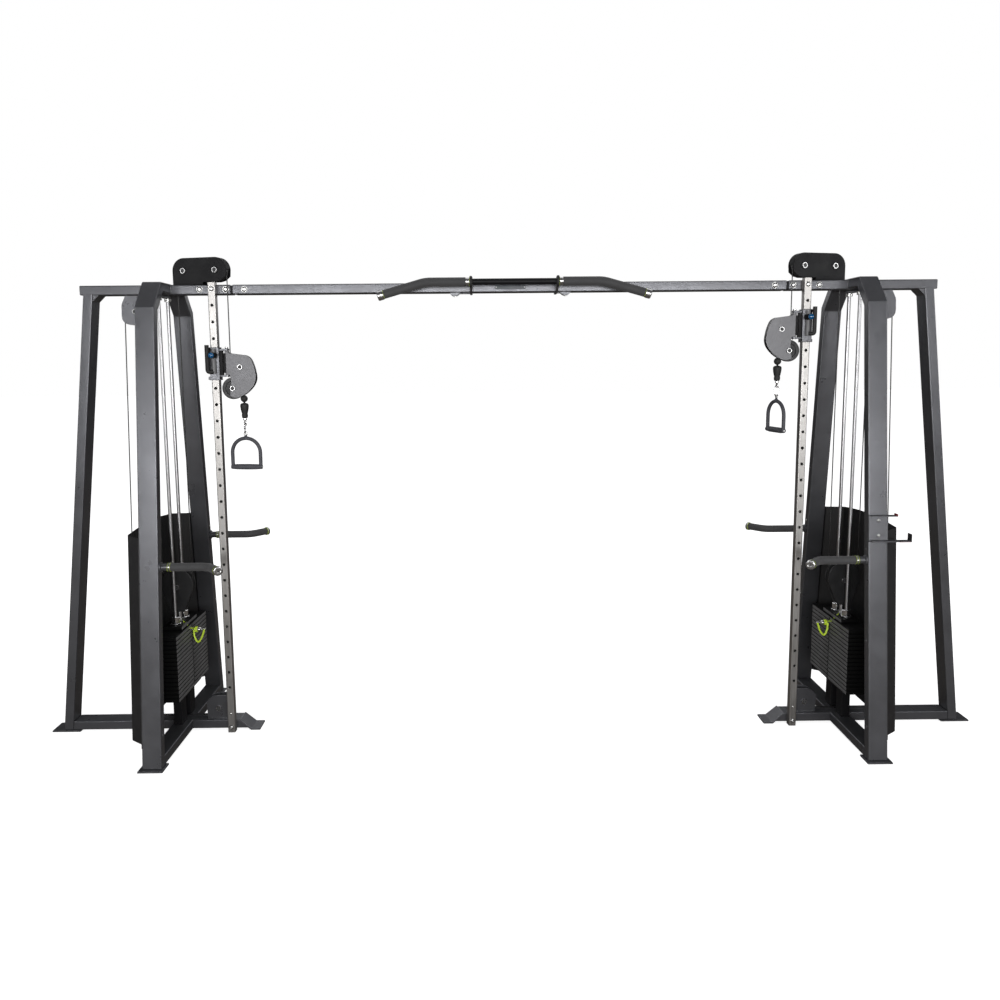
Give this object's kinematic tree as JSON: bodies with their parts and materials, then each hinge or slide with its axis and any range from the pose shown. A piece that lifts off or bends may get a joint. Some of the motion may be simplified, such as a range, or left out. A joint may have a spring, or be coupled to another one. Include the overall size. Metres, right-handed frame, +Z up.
{
  "type": "cable crossover machine",
  "caption": "Cable crossover: selectorised weight towers with adjustable swivel pulleys and D-handles, joined by a crossbeam with a pull-up bar.",
  "frame": {"origin": "on the floor, midway between the towers and midway between the front and rear feet", "axes": "+Z up, +X to the right as seen by a user facing the machine, +Y to the back"},
  "size_m": [4.452, 0.948, 2.242],
  "materials": {
    "paint": "charcoal textured powder coat",
    "steel": "brushed",
    "chrome": "polished",
    "plates": "dark grey paint, satin",
    "plastic": "matt black",
    "rubber": "dark grey, fine texture",
    "silver": "silver grey paint",
    "blue": "blue knob",
    "lime": "yellow-green",
    "cable": "black jacketed wire rope"
  },
  "bodies": {
    "frame": {"crossbeam": "paint", "pullup_bar": "rubber", "accessory_hook": "paint", "base_L": "paint", "upper_frame_L": "paint", "rail_L": "steel", "guide_rods_L": "chrome", "shroud_L": "plastic", "plates_resting_L": "plates", "top_housing_L": "paint", "front_grip_L": "rubber", "rear_grip_L": "rubber", "cable_base_L": "cable", "base_R": "paint", "upper_frame_R": "paint", "rail_R": "steel", "guide_rods_R": "chrome", "shroud_R": "plastic", "plates_resting_R": "plates", "top_housing_R": "paint", "front_grip_R": "rubber", "rear_grip_R": "rubber", "cable_base_R": "cable"},
    "stack_L": {"plates_lifted_L": "plates", "stack_yoke_L": "plastic", "cable_lift_L": "cable"},
    "selector_pin_L": {"selector_pin_L": "lime"},
    "stack_pulley_L": {"stack_pulley_L": "plastic"},
    "top_pulley_in_L": {"top_pulley_in_L": "plastic"},
    "top_pulley_out_L": {"top_pulley_out_L": "plastic"},
    "drop_pulley_L": {"drop_pulley_L": "plastic"},
    "base_pulley_in_L": {"base_pulley_in_L": "plastic"},
    "base_pulley_out_L": {"base_pulley_out_L": "plastic"},
    "carriage_L": {"carriage_L": "paint", "cable_top_L": "cable"},
    "pop_pin_L": {"pop_pin_L": "blue"},
    "swivel_L": {"swivel_L": "silver"},
    "swivel_pulley_up_L": {"swivel_pulley_up_L": "plastic"},
    "swivel_pulley_low_L": {"swivel_pulley_low_L": "plastic"},
    "cable_end_L": {"cable_end_L": "rubber"},
    "d_handle_L": {"d_handle_L": "rubber"},
    "stack_R": {"plates_lifted_R": "plates", "stack_yoke_R": "plastic", "cable_lift_R": "cable"},
    "selector_pin_R": {"selector_pin_R": "lime"},
    "stack_pulley_R": {"stack_pulley_R": "plastic"},
    "top_pulley_in_R": {"top_pulley_in_R": "plastic"},
    "top_pulley_out_R": {"top_pulley_out_R": "plastic"},
    "drop_pulley_R": {"drop_pulley_R": "plastic"},
    "base_pulley_in_R": {"base_pulley_in_R": "plastic"},
    "base_pulley_out_R": {"base_pulley_out_R": "plastic"},
    "carriage_R": {"carriage_R": "paint", "cable_top_R": "cable"},
    "pop_pin_R": {"pop_pin_R": "blue"},
    "swivel_R": {"swivel_R": "silver"},
    "swivel_pulley_up_R": {"swivel_pulley_up_R": "plastic"},
    "swivel_pulley_low_R": {"swivel_pulley_low_R": "plastic"},
    "cable_end_R": {"cable_end_R": "rubber"},
    "d_handle_R": {"d_handle_R": "rubber"}
  },
  "joints": [
    {"name": "stack_lift_L", "type": "slide", "parent": "frame", "child": "stack_L", "axis": [0, 0, 1], "range_m": [0, 0.6], "deforming": ["cable_lift_L"]},
    {"name": "handle_pull_L", "type": "slide", "parent": "swivel_L", "child": "cable_end_L", "axis": [0, 0, -1], "range_m": [0, 1.2]},
    {"name": "carriage_slide_L", "type": "slide", "parent": "frame", "child": "carriage_L", "axis": [0, 0, 1], "range_m": [-1.2, 0.225], "deforming": ["cable_top_L"]},
    {"name": "pop_pin_push_L", "type": "slide", "parent": "carriage_L", "child": "pop_pin_L", "axis": [0, 1, 0], "range_m": [0, 0.012]},
    {"name": "swivel_turn_L", "type": "hinge", "parent": "carriage_L", "child": "swivel_L", "pos_m": [-1.3, -0.06, 1.752], "axis": [0, 0, 1], "range_deg": [-75, 75]},
    {"name": "selector_pin_pull_L", "type": "slide", "parent": "stack_L", "child": "selector_pin_L", "axis": [1, 0, 0], "range_m": [0, 0.085]},
    {"name": "d_handle_swing_L", "type": "hinge", "parent": "cable_end_L", "child": "d_handle_L", "pos_m": [-1.229, -0.06, 1.443], "axis": [0.1045, 0.9945, 0], "range_deg": [-40, 8]},
    {"name": "top_pulley_in_spin_L", "type": "hinge", "parent": "frame", "child": "top_pulley_in_L", "pos_m": [-1.32868, -0.04906, 2.185], "axis": [0.2379, 0.9713, 0], "continuous": true},
    {"name": "top_pulley_out_spin_L", "type": "hinge", "parent": "frame", "child": "top_pulley_out_L", "pos_m": [-1.48432, -0.01094, 2.185], "axis": [0.2379, 0.9713, 0], "continuous": true},
    {"name": "stack_pulley_spin_L", "type": "hinge", "parent": "stack_L", "child": "stack_pulley_L", "pos_m": [-1.599, 0, 0.705], "axis": [0, 1, 0], "continuous": true},
    {"name": "swivel_pulley_up_spin_L", "type": "hinge", "parent": "swivel_L", "child": "swivel_pulley_up_L", "pos_m": [-1.238, -0.06, 1.748], "axis": [0, 1, 0], "continuous": true},
    {"name": "swivel_pulley_low_spin_L", "type": "hinge", "parent": "swivel_L", "child": "swivel_pulley_low_L", "pos_m": [-1.275, -0.06, 1.651], "axis": [0, 1, 0], "continuous": true},
    {"name": "drop_pulley_spin_L", "type": "hinge", "parent": "frame", "child": "drop_pulley_L", "pos_m": [-1.723, 0, 2.005], "axis": [0, 1, 0], "continuous": true},
    {"name": "base_pulley_in_spin_L", "type": "hinge", "parent": "frame", "child": "base_pulley_in_L", "pos_m": [-1.426, 0, 0.101], "axis": [0, 1, 0], "continuous": true},
    {"name": "base_pulley_out_spin_L", "type": "hinge", "parent": "frame", "child": "base_pulley_out_L", "pos_m": [-1.788, 0, 0.101], "axis": [0, 1, 0], "continuous": true},
    {"name": "stack_lift_R", "type": "slide", "parent": "frame", "child": "stack_R", "axis": [0, 0, 1], "range_m": [0, 0.6], "deforming": ["cable_lift_R"]},
    {"name": "handle_pull_R", "type": "slide", "parent": "swivel_R", "child": "cable_end_R", "axis": [0, 0, -1], "range_m": [0, 1.2]},
    {"name": "carriage_slide_R", "type": "slide", "parent": "frame", "child": "carriage_R", "axis": [0, 0, 1], "range_m": [-1.35, 0.075], "deforming": ["cable_top_R"]},
    {"name": "pop_pin_push_R", "type": "slide", "parent": "carriage_R", "child": "pop_pin_R", "axis": [0, 1, 0], "range_m": [0, 0.012]},
    {"name": "swivel_turn_R", "type": "hinge", "parent": "carriage_R", "child": "swivel_R", "pos_m": [1.3, -0.06, 1.902], "axis": [0, 0, 1], "range_deg": [-75, 75]},
    {"name": "selector_pin_pull_R", "type": "slide", "parent": "stack_R", "child": "selector_pin_R", "axis": [-1, 0, 0], "range_m": [0, 0.085]},
    {"name": "d_handle_swing_R", "type": "hinge", "parent": "cable_end_R", "child": "d_handle_R", "pos_m": [1.229, -0.06, 1.593], "axis": [0.9781, 0.2079, 0], "range_deg": [-40, 40]},
    {"name": "top_pulley_in_spin_R", "type": "hinge", "parent": "frame", "child": "top_pulley_in_R", "pos_m": [1.32868, -0.04906, 2.185], "axis": [-0.2379, 0.9713, 0], "continuous": true},
    {"name": "top_pulley_out_spin_R", "type": "hinge", "parent": "frame", "child": "top_pulley_out_R", "pos_m": [1.48432, -0.01094, 2.185], "axis": [-0.2379, 0.9713, 0], "continuous": true},
    {"name": "stack_pulley_spin_R", "type": "hinge", "parent": "stack_R", "child": "stack_pulley_R", "pos_m": [1.599, 0, 0.705], "axis": [0, 1, 0], "continuous": true},
    {"name": "swivel_pulley_up_spin_R", "type": "hinge", "parent": "swivel_R", "child": "swivel_pulley_up_R", "pos_m": [1.238, -0.06, 1.898], "axis": [0, 1, 0], "continuous": true},
    {"name": "swivel_pulley_low_spin_R", "type": "hinge", "parent": "swivel_R", "child": "swivel_pulley_low_R", "pos_m": [1.275, -0.06, 1.801], "axis": [0, 1, 0], "continuous": true},
    {"name": "drop_pulley_spin_R", "type": "hinge", "parent": "frame", "child": "drop_pulley_R", "pos_m": [1.723, 0, 2.005], "axis": [0, 1, 0], "continuous": true},
    {"name": "base_pulley_in_spin_R", "type": "hinge", "parent": "frame", "child": "base_pulley_in_R", "pos_m": [1.426, 0, 0.101], "axis": [0, 1, 0], "continuous": true},
    {"name": "base_pulley_out_spin_R", "type": "hinge", "parent": "frame", "child": "base_pulley_out_R", "pos_m": [1.788, 0, 0.101], "axis": [0, 1, 0], "continuous": true}
  ],
  "couplings": [
    {"joint": "handle_pull_L", "follows": "stack_lift_L", "ratio": 2},
    {"joint": "top_pulley_in_spin_L", "follows": "stack_lift_L", "rad_per_m": 43.478},
    {"joint": "top_pulley_out_spin_L", "follows": "stack_lift_L", "rad_per_m": 43.478},
    {"joint": "stack_pulley_spin_L", "follows": "stack_lift_L", "rad_per_m": -14.286},
    {"joint": "swivel_pulley_up_spin_L", "follows": "stack_lift_L", "rad_per_m": -43.478},
    {"joint": "swivel_pulley_low_spin_L", "follows": "stack_lift_L", "rad_per_m": 43.478},
    {"joint": "drop_pulley_spin_L", "follows": "carriage_slide_L", "rad_per_m": -18.518},
    {"joint": "base_pulley_in_spin_L", "follows": "carriage_slide_L", "rad_per_m": -23.809},
    {"joint": "base_pulley_out_spin_L", "follows": "carriage_slide_L", "rad_per_m": -23.809},
    {"joint": "handle_pull_R", "follows": "stack_lift_R", "ratio": 2},
    {"joint": "top_pulley_in_spin_R", "follows": "stack_lift_R", "rad_per_m": -43.478},
    {"joint": "top_pulley_out_spin_R", "follows": "stack_lift_R", "rad_per_m": -43.478},
    {"joint": "stack_pulley_spin_R", "follows": "stack_lift_R", "rad_per_m": 14.286},
    {"joint": "swivel_pulley_up_spin_R", "follows": "stack_lift_R", "rad_per_m": 43.478},
    {"joint": "swivel_pulley_low_spin_R", "follows": "stack_lift_R", "rad_per_m": -43.478},
    {"joint": "drop_pulley_spin_R", "follows": "carriage_slide_R", "rad_per_m": 18.518},
    {"joint": "base_pulley_in_spin_R", "follows": "carriage_slide_R", "rad_per_m": 23.809},
    {"joint": "base_pulley_out_spin_R", "follows": "carriage_slide_R", "rad_per_m": 23.809}
  ]
}
